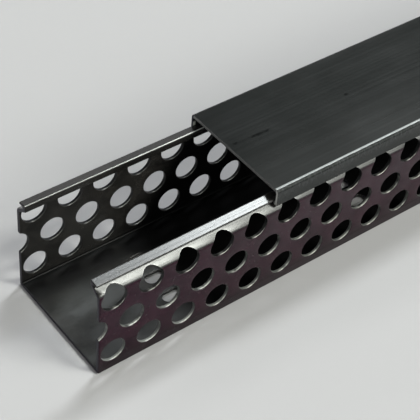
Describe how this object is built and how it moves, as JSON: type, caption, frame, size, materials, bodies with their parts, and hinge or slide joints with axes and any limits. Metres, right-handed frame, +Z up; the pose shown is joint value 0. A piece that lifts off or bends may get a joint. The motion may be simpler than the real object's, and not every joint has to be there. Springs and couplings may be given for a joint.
{
  "type": "round hole wiring duct",
  "caption": "Black plastic wiring duct: a straight channel with staggered round holes in both side walls, and a clip-on cover that is slid back from one end.",
  "frame": {"origin": "centre of the channel's underside, on the surface that it stands on", "axes": "+X along the duct, away from the open end; +Z up, out of the channel; +Y across it, away from the wall that faces the picture's camera"},
  "size_m": [1.9121, 0.0572, 0.053],
  "materials": {
    "channel_pvc": "black extruded PVC, half gloss, with fine lengthwise draw lines",
    "cover_pvc": "black extruded PVC, half gloss, lightly scuffed"
  },
  "bodies": {
    "channel": {"duct_channel": "channel_pvc"},
    "cover": {"snap_cover": "cover_pvc"}
  },
  "joints": [
    {"name": "cover_slide", "type": "slide", "parent": "channel", "child": "cover", "axis": [1, 0, 0], "range_m": [-0.08325, 0.83]}
  ]
}
